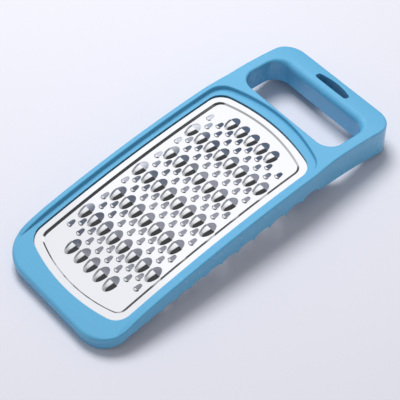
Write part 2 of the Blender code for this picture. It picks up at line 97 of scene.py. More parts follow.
# Frame
HALF_WIDTH = 0.0529
NOSE_END = -0.1057
HANDLE_END = 0.1570
NOSE_CORNER = 0.0239
HANDLE_CORNER = 0.0155
WALL = 0.0022
RIM_TOP = 0.0043
LEDGE_TOP = 0.0012
LIP_UNDERSIDE = 0.0002
DRAFT = math.radians(2.58)
NOSE_LEAN = 0.16
HANDLE_LEAN = 0.058
NARROWING = 0.0012
NARROWING_STARTS = 0.0760
NARROWING_ENDS = 0.0950

# Points of the frame's loops: steps for a scallop and how near the nose's corner its point may lie, and
# points for the rest
SIDE_STEPS = 14
CORNER_CLEARANCE = 0.002
NOSE_POINTS = 150
HANDLE_POINTS = 220
LEDGE_END_POINTS = 130
OPENING_POINTS = 300
SLOT_END_POINTS = 60

# Rim's width at the sides and on the nose's front, the degrees of the nose's corner up to which its inner
# line runs straight, and those over which the rim and the rounding of its edge grow
RIM_WIDTH = 0.0041
NOSE_RIM_WIDTH = 0.0060
STRAIGHT_UP_TO = 60
RIM_GROWS = (22, 72)
ROUNDING_GROWS = (8, 58)

# Shares of the rim's width: the most that its two roundings take, and strips beside them on the flat top
ROUNDING_LIMIT = 0.5
CREST_LIMIT = 0.35
STRIP_SHARE = 0.12

# Rows of points up the outer wall, as shares of its height, and strips beside roundings on flat faces
WALL_ROWS = (0.06, 0.35, 0.65, 0.94, 1)
MARGIN = 0.0003
OPENING_MARGIN = 0.0001
SLOT_MARGIN = 0.00005

# Sunk ledge. Its wall is two arcs that each take a share of its height and end some degrees short of
# upright
WALL_ARC_SHARE = 0.42
SHORT_OF_UPRIGHT = 8
CHANNEL_HALF_WIDTH = 0.0488
CHANNEL_FAR = 0.0967
CHANNEL_SAG = 0.0115
CHANNEL_CORNER = 0.0125

# Finger opening and hanging slot
OPENING_HALF_WIDTH = 0.0442
OPENING_NEAR = 0.0988
OPENING_FAR = 0.1372
OPENING_CORNER = 0.0120
COLLAR_WALL = 0.0022
COLLAR_DEPTH = 0.0205
COLLAR_EDGE = 0.0008
SLOT_HALF_WIDTH = 0.0150
SLOT_NEAR = 0.1444
SLOT_FAR = 0.1520
SLOT_ENDS_MEET = 0.1467
SLOT_CORNER = 0.0022
SLOT_SAG = 0.0028

# Lower edge of the side walls: depth below the rim at places along the arch
EDGE_TABLE = (
    (-0.1100, 0.0160),
    (-0.1018, 0.0144),
    (-0.0960, 0.0129),
    (-0.0924, 0.0122),
    (-0.0869, 0.0108),
    (-0.0776, 0.0114),
    (-0.0675, 0.0122),
    (-0.0554, 0.0135),
    (-0.0310, 0.0149),
    (-0.0042, 0.0171),
    (0.0099, 0.0183),
    (0.0520, 0.0191),
    (0.0810, 0.0181),
    (0.0950, 0.0209),
    (0.1269, 0.0219),
    (0.1402, 0.0226),
    (0.1592, 0.0249),
)
EDGE_PLACES, EDGE_DEPTHS = zip(*EDGE_TABLE)
SCALLOPS = 13
SCALLOPS_FAR = 0.0810
SCALLOPS_NEAR = -0.0869
LAST_SCALLOP_SHARE = 0.65
SCALLOP_RISE_FAR = 0.0046
SCALLOP_RISE_NEAR = 0.0014

# Plate and pegs
PLATE_TOP = -0.0001
PLATE_FLANGE = 0.0053
PANEL_DROP = 0.0010
STEP_INSET = 0.0047
STEP_RUN = 0.0018
STEP_RUN_AT_ENDS = 0.0011
STEP_CORNER = 0.0075
STEP_SHOULDER = 0.0020
STEP_MARGIN = 0.0002
PLATE_POINTS = 360
PEG_ROWS = (-3, -1, 1, 3)
PEG_OUT = 0.00265
PEG_END_X = 0.0200
PEG_TOP = 0.0007
PEG_SIDES = 24
PEG_RADIUS = 0.0013
PEG_HEAD_RADIUS = 0.0024
PEG_HEAD_TOP = -0.0027
PEG_HEAD_HEIGHT = 0.0010
HEAD_FLAT_SHARE = 0.85
HEAD_EDGE_SHARE = 0.2

# Arch
CROWN = 0.0726
CROWN_HEIGHT = 0.02905
ARCH_RADIUS = 0.8071
BEND_STARTS = 0.0855
BEND_RADIUS = 0.285

# How far the rounded and leaning ends of the CAD model stand back from their lines on the arch
NOSE_SET_BACK = 0.00049
HANDLE_SET_BACK = 0.00007

# Ends of the window's straight sides. At the far one the frame's matched loops part, round the handle and
# round the ledge
WINDOW_STRAIGHT_NEAR = -0.0753
HANDLE_STARTS = 0.0728

# Camera
EYE = (0.3998, -0.3589, 0.7150)
LENS = 119.8
SENSOR_WIDTH = 36
CLIP = (0.05, 20)
CAMERA_RIGHT = (0.6654, 0.7464, 0.0)
CAMERA_UP = (-0.5965, 0.5319, 0.6010)

# Floor, lamp, and how much rougher the ring is than the frame
FLOOR_HALF = 3.0
LAMP_PLACE = (-0.52, 0.24, 1.16)
LAMP_SIZE = 0.65
RING_ROUGHER = 0.1

# Studio in reflections: ramps over a direction's share along one axis, as (from, to, start, end)
TOWARD_BRIGHT_SIDE = (-0.80, -0.10, 0.60, 1.32)
FAR_SIDE_EXTRA = (0.05, 0.12, 0.0, 0.20)
ABOVE_BAND = (0.36, 0.46, 0.0, 1.0)
BELOW_BAND = (-0.30, 0.10, 0.5, 0.0)
NEAR_END_OF_BAND = (-0.60, 0.0, 1.0, 0.0)
BAND_LEVELS = (0.0, 1.0, 0.10, 1.0)
SOFTBOX_EDGE = (0.88, 0.92)
DARK_SIDE_EDGE = (0.35, 0.45)


# Arch


def arch(s):
    """Place along the floor and height of places along the arch.

    An arc round the crown: radius * sin(turn) along, crown's height - radius * (1 - cos(turn)) up, with
    turn = distance from the crown / radius. From the bend on, a tighter arc tangent to it.
    """
    start = (BEND_STARTS - CROWN) / ARCH_RADIUS
    turn = (np.minimum(s, BEND_STARTS) - CROWN) / ARCH_RADIUS
    more = start + np.maximum(s - BEND_STARTS, 0) / BEND_RADIUS
    along = ARCH_RADIUS * np.sin(turn) + BEND_RADIUS * (np.sin(more) - math.sin(start))
    drop = ARCH_RADIUS * (1 - np.cos(turn)) + BEND_RADIUS * (math.cos(start) - np.cos(more))
    return along, CROWN_HEIGHT - drop


NOSE_FRONT = arch(np.array(NOSE_END))[0] + NOSE_SET_BACK
HANDLE_BACK = arch(np.array(HANDLE_END))[0] - HANDLE_SET_BACK
MIDDLE = (NOSE_FRONT + HANDLE_BACK) / 2


def bend(flat):
    """Sets flat points on the arch.

    The width shrinks by the narrowing towards the handle and grows with depth by the draft. Round the
    nose and the handle's end, a point moves in by its depth times the lean.
    """
    x, s, z = np.moveaxis(flat, -1, 0)
    along, height = arch(s)
    nose = np.clip(1 - (s - NOSE_END) / NOSE_CORNER, 0, 1)
    handle = np.clip(1 - (HANDLE_END - s) / HANDLE_CORNER, 0, 1)
    along = along + nose * NOSE_LEAN * (LEDGE_TOP - z) - handle * HANDLE_LEAN * (RIM_TOP - z)
    share = np.clip((s - NARROWING_STARTS) / (NARROWING_ENDS - NARROWING_STARTS), 0, 1)
    width = 1 - NARROWING / HALF_WIDTH * share
    spread = 1 + math.tan(DRAFT) * (RIM_TOP - z) / HALF_WIDTH
    return np.stack([x * width * spread, along - MIDDLE, height + z], -1)


def smooth(x):
    """From 0 to 1 as x does, with a level start and end: x * x * (3 - 2 * x)."""
    x = np.clip(x, 0, 1)
    return x * x * (3 - 2 * x)


# Outlines


def resample(points, count):
    """Points evenly spaced along an open line, its two ends left out."""
    lengths = np.concatenate([[0], np.cumsum(np.linalg.norm(np.diff(points, axis=0), axis=1))])
    at = np.linspace(0, lengths[-1], count + 2)[1:-1]
    return np.stack([np.interp(at, lengths, points[:, i]) for i in range(2)], -1)


def far_end(half_width, start, middle, sag, corner, count):
    """The far end of an outline, from its right side to its left: a wide arc between two round corners.

    The wide arc passes through the middle and lies a sag lower at the sides; each corner arc is tangent
    to it from inside and to the side. Without a sag the wide arc is so wide that it is straight.
    """
    wide = (half_width**2 + sag**2) / (2 * sag) if sag else STRAIGHT_RADIUS
    corner_x = half_width - corner
    corner_s = middle - wide + math.sqrt((wide - corner) ** 2 - corner_x**2)
    turn = math.atan2(corner_x, corner_s - middle + wide)
    round_off = np.linspace(0, math.pi / 2 - turn, CORNER_STEPS)[:, None]
    across = np.linspace(turn, 0, WIDE_STEPS)[:, None]
    right = np.concatenate(
        [
            [[half_width, start]],
            [corner_x, corner_s] + corner * np.hstack([np.cos(round_off), np.sin(round_off)]),
            [0, middle - wide] + wide * np.hstack([np.sin(across), np.cos(across)]),
        ]
    )
    left = right[-2::-1] * [-1, 1]
    return resample(np.concatenate([right, left]), count)


def near_end(half_width, start, middle, sag, corner, count):
    """The near end of an outline, from its left side to its right: a far end turned half round."""
    return -far_end(half_width, -start, -middle, sag, corner, count)


def ring_outline(half_width, near, far, corner, sag, count):
    """A closed outline, anticlockwise from above, with the same corners and sag at both ends."""
    middle = (near + far) / 2
    sides = [[[half_width, middle]], [[-half_width, middle]]]
    far_half = far_end(half_width, middle, far, sag, corner, count // 2 - 1)
    near_half = near_end(half_width, middle, near, sag, corner, count // 2 - 1)
    return np.concatenate([sides[0], far_half, sides[1], near_half])


def outward(path):
    """Unit directions out of a closed anticlockwise path, square to it."""
    along = np.roll(path, -1, 0) - np.roll(path, 1, 0)
    along /= np.linalg.norm(along, axis=1)[:, None]
    return np.stack([along[:, 1], -along[:, 0]], -1)


def carried(path, directions, profile):
    """A profile carried along a path: rows of points, each a distance out of the path and a height."""
    rows = []
    for out, height in profile:
        spots = path + directions * np.broadcast_to(out, len(path))[:, None]
        rows.append(np.column_stack([spots, np.broadcast_to(height, len(path))]))
    return np.array(rows)


def arc(start, end, steps):
    """Points of a unit arc as (cosine, sine) pairs, from one angle to another in degrees."""
    return [(np.cos(a), np.sin(a)) for a in np.radians(np.linspace(start, end, steps + 1))]


def edge_round(radius, top, steps):
    """Profile of an edge rounded by a quarter circle, from its flat top down to its wall."""
    return [(radius * (1 - c), top - radius * (1 - s)) for c, s in arc(90, 0, steps)]


def foot_round(inner, outer, low, radius):
    """Profile of a wall's lower edge, rounded on both sides: down from one face and up to the other."""
    down = [(inner + radius * (1 - c), low + radius * (1 - s)) for c, s in arc(0, 90, 3)]
    up = [(outer - radius * (1 - c), low + radius * (1 - s)) for c, s in arc(90, 0, 3)]
    return down + up


# Meshes


class Shape:
    """Rows and fills of points that share their borders, until they become one mesh."""

    def __init__(self):
        self.parts = []
        self.count = 0
        self.faces = []

    def add(self, points):
        """Takes points in and gives their numbers in the same arrangement."""
        points = np.asarray(points, float)
        self.parts.append(points.reshape(-1, 3))
        numbers = self.count + np.arange(self.parts[-1].shape[0])
        self.count += len(numbers)
        return numbers.reshape(points.shape[:-1])

    def all_points(self):
        """All points so far, in the order of their numbers."""
        return np.concatenate(self.parts)

    def weave(self, rows, closed=True):
        """Four-sided faces between neighbouring rows of point numbers."""
        after = np.roll(rows, -1, -1) if closed else rows[..., 1:]
        before = rows if closed else rows[..., :-1]
        faces = [before[..., :-1, :], after[..., :-1, :], after[..., 1:, :], before[..., 1:, :]]
        self.faces += np.stack(faces, -1).reshape(-1, 4).tolist()

    def fill(self, loops, height, spacing):
        """Triangles inside the first loop and outside the others, with inner points on a square grid."""
        flat = self.all_points()[:, :2]
        border = np.concatenate(loops)
        ends = np.concatenate([np.roll(loop, -1) for loop in loops])
        low, high = flat[border].min(0), flat[border].max(0)
        grid = np.mgrid[low[0] : high[0] : spacing, low[1] : high[1] : spacing].reshape(2, -1).T
        grid = grid[inside(grid, flat[border], flat[ends])]
        grid = grid[far_from(grid, flat[border], BORDER_SHARE * spacing)]
        numbers = np.concatenate([border, self.add(np.column_stack([grid, np.full(len(grid), height)]))])
        spots = np.concatenate([flat[border], grid])
        order = {int(number): i for i, number in enumerate(border)}
        edges = [(order[int(a)], order[int(b)]) for a, b in zip(border, ends)]
        made = delaunay_2d_cdt([Vector(spot) for spot in spots], edges, [], 0, 1e-9)
        sources = np.array([source[0] for source in made[3]])
        triangles = sources[np.array([face for face in made[2] if len(face) == 3])]
        sides = spots[triangles[:, 1:]] - spots[triangles[:, :1]]
        area = np.abs(sides[:, 0, 0] * sides[:, 1, 1] - sides[:, 0, 1] * sides[:, 1, 0]) / 2
        triangles = triangles[area > SLIVER]
        middles = spots[triangles].mean(1)
        triangles = triangles[inside(middles, flat[border], flat[ends])]
        self.faces += numbers[triangles].tolist()

    def object(self, name, open_side_up=False):
        """One mesh object on the arch, its faces turned outwards."""
        mesh = bpy.data.meshes.new(name)
        mesh.from_pydata(bend(self.all_points()), [], self.faces)
        turn_faces_out(mesh, open_side_up)
        obj = bpy.data.objects.new(name, mesh)
        bpy.context.scene.collection.objects.link(obj)
        return obj


def inside(points, starts, ends):
    """Whether each point has an odd number of the edges on its right."""
    found = []
    rise = np.where(ends[:, 1] == starts[:, 1], 1e-12, ends[:, 1] - starts[:, 1])
    for part in np.array_split(points, max(1, len(points) // BATCH)):
        x, y = part[:, :1], part[:, 1:]
        crossed = (starts[:, 1] > y) != (ends[:, 1] > y)
        at = starts[:, 0] + (ends[:, 0] - starts[:, 0]) * (y - starts[:, 1]) / rise
        found.append((crossed & (at > x)).sum(1) % 2 == 1)
    return np.concatenate(found)


def far_from(points, others, distance):
    """Whether each point lies at least this far from all the others."""
    found = []
    for part in np.array_split(points, max(1, len(points) // BATCH)):
        gaps = np.linalg.norm(part[:, None] - others[None], axis=2)
        found.append(gaps.min(1) > distance)
    return np.concatenate(found)


def turn_faces_out(mesh, open_side_up=False, merge=False):
    """Recalculates the normals, after a merge of points in one place where poles and seams are to close.
    An open sheet is turned so that most of it faces up."""
    shape = bmesh.new()
    shape.from_mesh(mesh)
    if merge:
        bmesh.ops.remove_doubles(shape, verts=shape.verts, dist=1e-7)
        bmesh.ops.dissolve_degenerate(shape, edges=shape.edges, dist=1e-8)
    bmesh.ops.recalc_face_normals(shape, faces=shape.faces)
    if open_side_up and sum(face.normal.z * face.calc_area() for face in shape.faces) < 0:
        bmesh.ops.reverse_faces(shape, faces=shape.faces)
    shape.to_mesh(mesh)
    shape.free()


def finish_piece(obj, material, slot, *nodes, sharp=40):
    """Smooth shading with sharp edges, a material, a body to ride on and the CAD nodes it stands for."""
    obj.data.shade_smooth()
    obj.data.set_sharp_from_angle(angle=math.radians(sharp))
    level = obj.modifiers.new("level_flats", "WEIGHTED_NORMAL")
    level.mode = "FACE_AREA"
    level.keep_sharp = True
    obj.data.materials.append(material)
    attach(obj, "root")
    if nodes:
        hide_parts(*nodes)


# Frame


def scallop_ends():
    """Places of the points between scallops, from the far end to the near one, where each scallop is
    shorter than the last: its share = 1 - (1 - last share) * (its place in the row) squared."""
    shares = 1 - (1 - LAST_SCALLOP_SHARE) * np.linspace(0, 1, SCALLOPS) ** 2
    steps = np.concatenate([[0], np.cumsum(shares)]) / shares.sum()
    return SCALLOPS_FAR + (SCALLOPS_NEAR - SCALLOPS_FAR) * steps


def lower_edge(s):
    """Height of the walls' lower edge: a line through the measured depths, raised by half ellipses, and
    nowhere below the floor."""
    height = RIM_TOP - np.interp(s, EDGE_PLACES, EDGE_DEPTHS)
    ends = scallop_ends()
    number = np.clip(np.searchsorted(-ends, -s) - 1, 0, SCALLOPS - 1)
    share = np.clip((s - ends[number]) / (ends[number + 1] - ends[number]), 0, 1)
    tallest = SCALLOP_RISE_FAR + (SCALLOP_RISE_NEAR - SCALLOP_RISE_FAR) * number / SCALLOPS
    height += tallest * np.sqrt(np.maximum(1 - (2 * share - 1) ** 2, 0))
    return np.maximum(height, -arch(s)[1])


def side_places():
    """Places along a side from the handle down to the nose's corner, closest at the scallops' points."""
    ends = scallop_ends()
    corner = NOSE_END + NOSE_CORNER
    ends = ends[(ends < HANDLE_STARTS) & (ends > corner + CORNER_CLEARANCE)]
    stops = np.concatenate([[HANDLE_STARTS], ends, [corner]])
    share = (1 - np.cos(np.linspace(0, math.pi, SIDE_STEPS + 1)[:-1])) / 2
    places = (stops[:-1, None] + np.diff(stops)[:, None] * share).ravel()
    return np.append(places, corner)


def around(half_width, corner_s, nose, end):
    """A closed path: down the left side, round the nose, up the right side and round the end."""
    places = side_places()
    share = (HANDLE_STARTS - places) / (HANDLE_STARTS - places[-1])
    places = HANDLE_STARTS - share * (HANDLE_STARTS - corner_s)
    left = np.column_stack([np.full(len(places), -half_width), places])
    return np.concatenate([left, nose, left[::-1] * [-1, 1], end])


def frame_paths():
    """The outer wall's path, the window's and the channel's far end. Also the number of points that lie
    beside each other on all three paths, from the handle round the nose and back."""
    corner_s = NOSE_END + NOSE_CORNER
    nose = near_end(HALF_WIDTH, corner_s, NOSE_END, 0, NOSE_CORNER, NOSE_POINTS)
    end = far_end(HALF_WIDTH, HANDLE_STARTS, HANDLE_END, 0, HANDLE_CORNER, HANDLE_POINTS)
    outer = around(HALF_WIDTH, corner_s, nose, end)
    matched = 2 * len(side_places()) + NOSE_POINTS

    shape = (WINDOW_SAG, WINDOW_CORNER)
    near = near_end(WINDOW_HALF_WIDTH, WINDOW_STRAIGHT_NEAR, WINDOW_NEAR, *shape, NOSE_POINTS)
    far = far_end(WINDOW_HALF_WIDTH, HANDLE_STARTS, WINDOW_FAR, *shape, LEDGE_END_POINTS)
    window = around(WINDOW_HALF_WIDTH, WINDOW_STRAIGHT_NEAR, near, far)
    shape = (CHANNEL_SAG, CHANNEL_CORNER)
    channel_end = far_end(CHANNEL_HALF_WIDTH, HANDLE_STARTS, CHANNEL_FAR, *shape, LEDGE_END_POINTS)
    return outer, window, channel_end, matched


def nose_turn(outer, directions):
    """How far each point of the outer path is round the nose's corner, in degrees from the side."""
    turn = np.degrees(np.arctan2(np.maximum(-directions[:, 1], 0), np.abs(directions[:, 0])))
    return np.where(outer[:, 1] < 0, turn, 0)


def grown(turn, degrees, start, end):
    """A size that goes smoothly from one value to another over a range of degrees of the corner."""
    return start + (end - start) * smooth((turn - degrees[0]) / (degrees[1] - degrees[0]))


def build_frame(settings):
    """The frame's skin: profiles carried round the outer wall, the channel, the window, the finger
    opening and the hanging slot, with flat fills between them above and below."""
    shape = Shape()
    outer, window, channel_end, matched = frame_paths()
    out = outward(outer)
    turn = nose_turn(outer, out)

    # The rim's width shrinks where the channel runs out through the nose's corner, and grows beyond it
    clipped = np.minimum(turn, STRAIGHT_UP_TO)
    straight = NOSE_CORNER - (NOSE_CORNER - RIM_WIDTH) / np.cos(np.radians(clipped))
    width = np.maximum(straight, grown(turn, RIM_GROWS, settings.ridge_end, NOSE_RIM_WIDTH))
    drop = (outer[:, 1] - settings.sinks_from) / (settings.sunk_at - settings.sinks_from)
    rim = RIM_TOP - (RIM_TOP - LEDGE_TOP) * np.clip(drop, 0, 1) ** 2
    rounding = grown(turn, ROUNDING_GROWS, settings.rim_rounding, settings.nose_rounding)
    rounding = np.minimum(rounding, ROUNDING_LIMIT * width)
    crest = np.minimum(settings.channel_rounding, CREST_LIMIT * width)

    # Outer wall, from the inner wall's top round the lower edge to the rim's flat top
    foot = lower_edge(outer[:, 1])
    small = settings.foot_rounding
    halfway = foot + 0.5 * (LIP_UNDERSIDE - foot)
    profile = [(-WALL, LIP_UNDERSIDE), (-WALL, halfway), *foot_round(-WALL, 0, foot, small)]
    top = rim - rounding
    profile += [(0, foot + small + (top - foot - small) * share) for share in WALL_ROWS]
    profile += [(-rounding * (1 - c), top + rounding * s) for c, s in arc(0, 90, 8)][1:]
    strip = STRIP_SHARE * (width - rounding - crest)
    profile.append((-rounding - strip, rim))
    walls = shape.add(carried(outer, out, profile))
    shape.weave(walls)

    # Channel: beside the outer path up to the handle, then its own far end
    beside = outer[:matched] - out[:matched] * width[:matched, None]
    channel = np.concatenate([beside, channel_end])
    directions = np.concatenate([out[:matched], outward(channel)[matched:]])
    soft = settings.channel_rounding
    spare, high, ease = [
        np.concatenate([values[:matched], np.full(len(channel_end), beyond)])
        for values, beyond in ((strip, MARGIN), (rim, RIM_TOP), (crest, soft))
    ]
    bulge = WALL_ARC_SHARE * (high - LEDGE_TOP)
    short = SHORT_OF_UPRIGHT
    profile = [(ease + spare, high)]
    profile += [(ease * (1 - c), high - bulge * (1 - s)) for c, s in arc(90, short, 6)]
    profile += [(-soft * (1 + c), LEDGE_TOP + bulge * (1 + s)) for c, s in arc(180 - short, 270, 7)]
    profile.append((-soft - MARGIN, LEDGE_TOP))
    rows = carried(channel, directions, profile)

    # Window's lip, matched with the channel point by point
    lip = settings.lip_rounding
    profile = [(lip + MARGIN, LEDGE_TOP), *edge_round(lip, LEDGE_TOP, 4), (0, LIP_UNDERSIDE)]
    lip_rows = carried(window, outward(window), profile)
    ledge = shape.add(np.concatenate([rows, lip_rows]))
    shape.weave(ledge)

    # Finger opening: a flare that is widest on its far side, the collar's inside, lower edge and outside
    ends = (OPENING_NEAR, OPENING_FAR)
    opening = ring_outline(OPENING_HALF_WIDTH, *ends, OPENING_CORNER, 0, OPENING_POINTS)
    opening_out = outward(opening)
    end = np.where(opening_out[:, 1] > 0, settings.opening_rounding_far, settings.opening_rounding_near)
    side = settings.opening_rounding_side
    flare = side + (end - side) * opening_out[:, 1] ** 2
    bottom = RIM_TOP - COLLAR_DEPTH
    profile = [(flare + OPENING_MARGIN, RIM_TOP), *edge_round(flare, RIM_TOP, 10)]
    profile += [(0, RIM_TOP - flare - MARGIN), (0, bottom + COLLAR_EDGE)]
    profile += foot_round(0, COLLAR_WALL, bottom, small)
    profile += [(COLLAR_WALL, bottom + COLLAR_EDGE), (COLLAR_WALL, LIP_UNDERSIDE)]
    collar = shape.add(carried(opening, opening_out, profile))
    shape.weave(collar)

    # Hanging slot: bowed on its far side, straight on its near one
    far = far_end(SLOT_HALF_WIDTH, SLOT_ENDS_MEET, SLOT_FAR, SLOT_SAG, SLOT_CORNER, SLOT_END_POINTS)
    near = near_end(SLOT_HALF_WIDTH, SLOT_ENDS_MEET, SLOT_NEAR, 0, SLOT_CORNER, SLOT_END_POINTS)
    slot = np.concatenate([far, near])
    edge = settings.slot_rounding
    profile = [(edge + SLOT_MARGIN, RIM_TOP), *edge_round(edge, RIM_TOP, 4), (0, LIP_UNDERSIDE)]
    slot_wall = shape.add(carried(slot, outward(slot), profile))
    shape.weave(slot_wall)

    # Rim's flat top along the sides and the nose, the handle's deck, and the underside
    outer_line, inner_line = walls[-1], ledge[0]
    shape.weave(np.stack([outer_line[:matched], inner_line[:matched]]), closed=False)
    outer_part = np.append(outer_line[matched - 1 :], outer_line[0])
    inner_part = np.append(inner_line[matched - 1 :], inner_line[0])
    deck = np.concatenate([outer_part, inner_part[::-1]])
    shape.fill([deck, collar[0], slot_wall[0]], RIM_TOP, TOP_SPACING)
    shape.fill([walls[0], ledge[-1], collar[-1], slot_wall[-1]], LIP_UNDERSIDE, UNDERSIDE_SPACING)
    return shape.object("frame_moulding")


# Pegs


def build_pegs():
    """Pegs on the lip's underside with formed heads: a profile turned round each peg's axis."""
    side_x = WINDOW_HALF_WIDTH + PEG_OUT
    bow = WINDOW_SAG * (PEG_END_X / WINDOW_HALF_WIDTH) ** 2
    spots = [(side * side_x, row * ROW_STEP) for row in PEG_ROWS for side in (-1, 1)]
    spots += [(side * PEG_END_X, WINDOW_NEAR - PEG_OUT + bow) for side in (-1, 1)]
    spots += [(side * PEG_END_X, WINDOW_FAR + PEG_OUT - bow) for side in (-1, 1)]
    head = PEG_HEAD_RADIUS
    flat = HEAD_FLAT_SHARE * head
    edge = HEAD_EDGE_SHARE * PEG_HEAD_HEIGHT
    domed = PEG_HEAD_HEIGHT - edge
    low = PEG_HEAD_TOP - PEG_HEAD_HEIGHT
    profile = [(0, PEG_TOP), (PEG_RADIUS, PEG_TOP), (PEG_RADIUS, PEG_HEAD_TOP), (flat, PEG_HEAD_TOP)]
    profile += [(flat + (head - flat) * s, PEG_HEAD_TOP - edge * (1 - c)) for c, s in arc(45, 90, 1)]
    profile += [(head * c, low + domed * (1 - s)) for c, s in arc(15, 90, 5)]
    radius, height = np.array(profile).T
    angle = np.linspace(0, 2 * math.pi, PEG_SIDES + 1)[:-1]
    spin = np.stack([np.cos(angle), np.sin(angle)], -1)
    ring = np.empty((len(spots), len(profile), len(angle), 3))
    ring[..., :2] = np.array(spots)[:, None, None] + radius[None, :, None, None] * spin
    ring[..., 2] = height[None, :, None]
    shape = Shape()
    shape.weave(shape.add(ring))
    obj = shape.object("pegs")
    turn_faces_out(obj.data, merge=True)
    return obj


# Plate


def row_sites(count, s):
    """Places of a row's teeth, a pitch apart and centred."""
    return [((i - (count - 1) / 2) * PITCH, s) for i in range(count)]


def tooth_sites():
    """Places of the large teeth and of the small ones, in rows along the arch."""
    large = []
    small = []
    for row, count in enumerate(LARGE_ROWS):
        s = (row - (len(LARGE_ROWS) - 1) / 2) * ROW_STEP
        large += row_sites(count, s)
        if row > 0:
            small += row_sites(SMALL_ROW_BESIDE[count], s - SMALL_BEFORE)
        if row < len(LARGE_ROWS) - 1:
            small += row_sites(SMALL_ROW_BESIDE[count], s + SMALL_AFTER)
    return np.array(large), np.array(small)


def dome_profile(rings):
    """From the foot of a dome to its top, as (share of the reach, share of the height).

    The top is an ellipse, (sin, cos) of an angle. Below the lip angle a quadratic curve leads out to the
    sheet: leaving * (1 - t) squared + corner * 2t(1 - t) + end * t squared.
    """
    start = math.radians(LIP_ANGLE)
    leaving = np.array([math.sin(start), math.cos(start)])
    corner = np.array([1 / math.sin(start), 0.0])
    end = corner + [FOOT_RUN_OUT, 0]
    t = np.linspace(1, 0, FOOT_STEPS + 1)[:, None]
    foot = leaving * (1 - t) ** 2 + corner * 2 * t * (1 - t) + end * t**2
    angles = np.linspace(start, 0, rings)[1:, None]
    return np.concatenate([foot, np.hstack([np.sin(angles), np.cos(angles)])])


def tooth_sizes(settings, kind):
    """Sizes of one kind of teeth, from the settings whose names start with it."""
    names = ("half_width", "dome", "hole", "height", "ahead", "lean")
    return {name: getattr(settings, f"{kind}_{name}") for name in names}


def add_teeth(shape, sites, tooth, sides, rings, arc_steps, bluntness):
    """Teeth at their sites. Returns the border loop of each, where the sheet meets it.

    A tooth is half a dome: across = half width * share * sin(turn), behind = dome * share * cos(turn),
    up = height * profile, leaning back as it rises. Its open side is the cutting edge, and in front of
    that the hole is half an ellipse: across = reach * cos(turn) to the power of the bluntness, which is
    below 1 for an end that is blunter than an ellipse's.
    """
    profile = dome_profile(rings)
    turn = np.radians(np.linspace(-90, 90, sides + 1))
    share, rise = profile[:-1, :1], profile[:-1, 1:]
    half_width = tooth["half_width"] / profile[CORNER_RING, 0]
    panel = PLATE_TOP - PANEL_DROP
    local = np.empty((len(profile) - 1, sides + 1, 3))
    local[..., 0] = half_width * share * np.sin(turn)
    local[..., 1] = tooth["ahead"] - tooth["dome"] * share * np.cos(turn) - tooth["lean"] * rise
    local[..., 2] = panel + tooth["height"] * rise
    offsets = np.column_stack([sites, np.zeros(len(sites))])
    grid = shape.add(local + offsets[:, None, None])
    top = shape.add(offsets + [0, tooth["ahead"] - tooth["lean"], panel + tooth["height"]])
    shape.weave(grid, closed=False)
    last = grid[:, -1]
    fans = np.stack([last[:, :-1], last[:, 1:], np.broadcast_to(top[:, None], last[:, 1:].shape)], -1)
    shape.faces += fans.reshape(-1, 3).tolist()

    angle = np.linspace(0, math.pi, arc_steps + 1)[1:-1]
    reach = local[CORNER_RING, -1, 0]
    across = reach * np.sign(np.cos(angle)) * np.abs(np.cos(angle)) ** bluntness
    ahead = local[CORNER_RING, -1, 1] + tooth["hole"] * np.sin(angle)
    front = np.column_stack([across, ahead, np.full(len(angle), panel)])
    arcs = shape.add(front + offsets[:, None])
    parts = [grid[:, 0], grid[:, 1 : CORNER_RING + 1, -1], arcs, grid[:, CORNER_RING:0:-1, 0]]
    return list(np.concatenate(parts, 1))


def window_ring(out, corner):
    """An outline that lies outside the window by a distance, with corners of its own."""
    near, far = WINDOW_NEAR - out, WINDOW_FAR + out
    return ring_outline(WINDOW_HALF_WIDTH + out, near, far, corner, WINDOW_SAG, PLATE_POINTS)


def build_plate(settings):
    """The plate's top skin, given its thickness by Solidify: an edge under the lip, a pressed step, a
    panel filled round its teeth."""
    shape = Shape()
    edge = window_ring(PLATE_FLANGE, WINDOW_CORNER + PLATE_FLANGE)
    step = window_ring(-STEP_INSET, STEP_CORNER)
    panel = PLATE_TOP - PANEL_DROP
    ease = settings.step_rounding
    across = outward(step)
    run = STEP_RUN + (STEP_RUN_AT_ENDS - STEP_RUN) * across[:, 1] ** 2
    slope = np.arctan2(PANEL_DROP, run)
    turns = [share * slope for share in np.linspace(0, 1, 5)]
    profile = [(STEP_SHOULDER, PLATE_TOP), (STEP_MARGIN + ease, PLATE_TOP)]
    profile += [(ease * (0.5 - np.sin(a)), PLATE_TOP - ease * (1 - np.cos(a))) for a in turns]
    profile += [(-run - ease * (0.5 - np.sin(a)), panel + ease * (1 - np.cos(a))) for a in turns[::-1]]
    profile.append((-run - STEP_MARGIN - ease, panel))
    rows = carried(step, across, profile)
    rim = carried(edge, outward(edge), [(0, PLATE_TOP)])
    grid = shape.add(np.concatenate([rim, rows]))
    shape.weave(grid)

    large, small = tooth_sites()
    loops = add_teeth(
        shape, large, tooth_sizes(settings, "large"), sides=22, rings=9, arc_steps=20, bluntness=1.0
    )
    loops += add_teeth(
        shape, small, tooth_sizes(settings, "small"), sides=14, rings=6, arc_steps=12, bluntness=0.65
    )
    shape.fill([grid[-1], *loops], panel, TOP_SPACING)
    obj = shape.object("steel_plate", open_side_up=True)
    thickness = obj.modifiers.new("thickness", "SOLIDIFY")
    thickness.thickness = settings.thickness
    thickness.offset = -1
    thickness.use_even_offset = True
    thickness.use_quality_normals = True
    bpy.context.view_layer.update()
    graph = bpy.context.evaluated_depsgraph_get()
    mesh = bpy.data.meshes.new_from_object(obj.evaluated_get(graph))
    obj.modifiers.clear()
    obj.data = mesh
    turn_faces_out(mesh)
    return obj


# Materials


